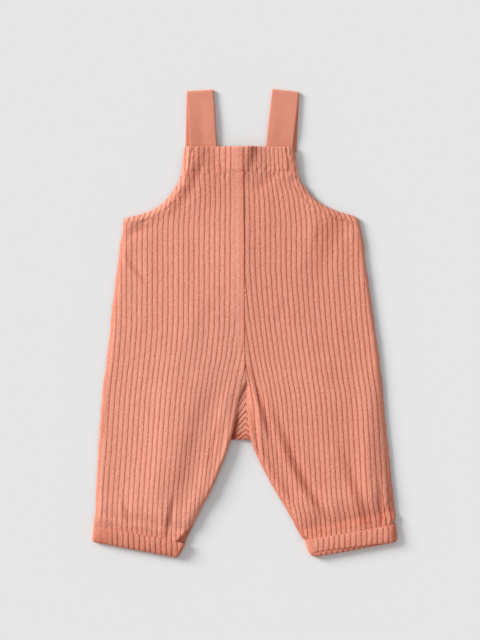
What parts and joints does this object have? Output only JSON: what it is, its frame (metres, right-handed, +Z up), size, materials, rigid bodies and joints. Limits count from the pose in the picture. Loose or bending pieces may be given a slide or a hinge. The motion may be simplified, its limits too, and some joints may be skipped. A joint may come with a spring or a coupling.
{
  "type": "toddler corduroy overalls, laid flat",
  "caption": "Toddler overalls in wide-wale corduroy, laid flat, with a plain bib, wide shoulder straps, a crotch pleat and turned-up leg cuffs.",
  "frame": {"origin": "middle of the garment's length and width, on the surface that it lies on", "axes": "+Z up from the surface, +Y from the leg cuffs to the shoulder straps, +X to the right as seen from above"},
  "size_m": [0.3359, 0.5153, 0.0085],
  "materials": {
    "corduroy": "soft matt wide-wale cotton corduroy, salmon pink, with a short nap",
    "strap_cloth": "smooth matt cotton twill, the same salmon pink"
  },
  "bodies": {
    "root": {"front_left": "corduroy", "back_left": "corduroy", "strap_left": "strap_cloth", "cuff_front_left": "corduroy", "cuff_back_left": "corduroy", "front_right": "corduroy", "back_right": "corduroy", "strap_right": "strap_cloth", "cuff_front_right": "corduroy", "cuff_back_right": "corduroy", "crotch_fold": "corduroy"}
  },
  "joints": []
}
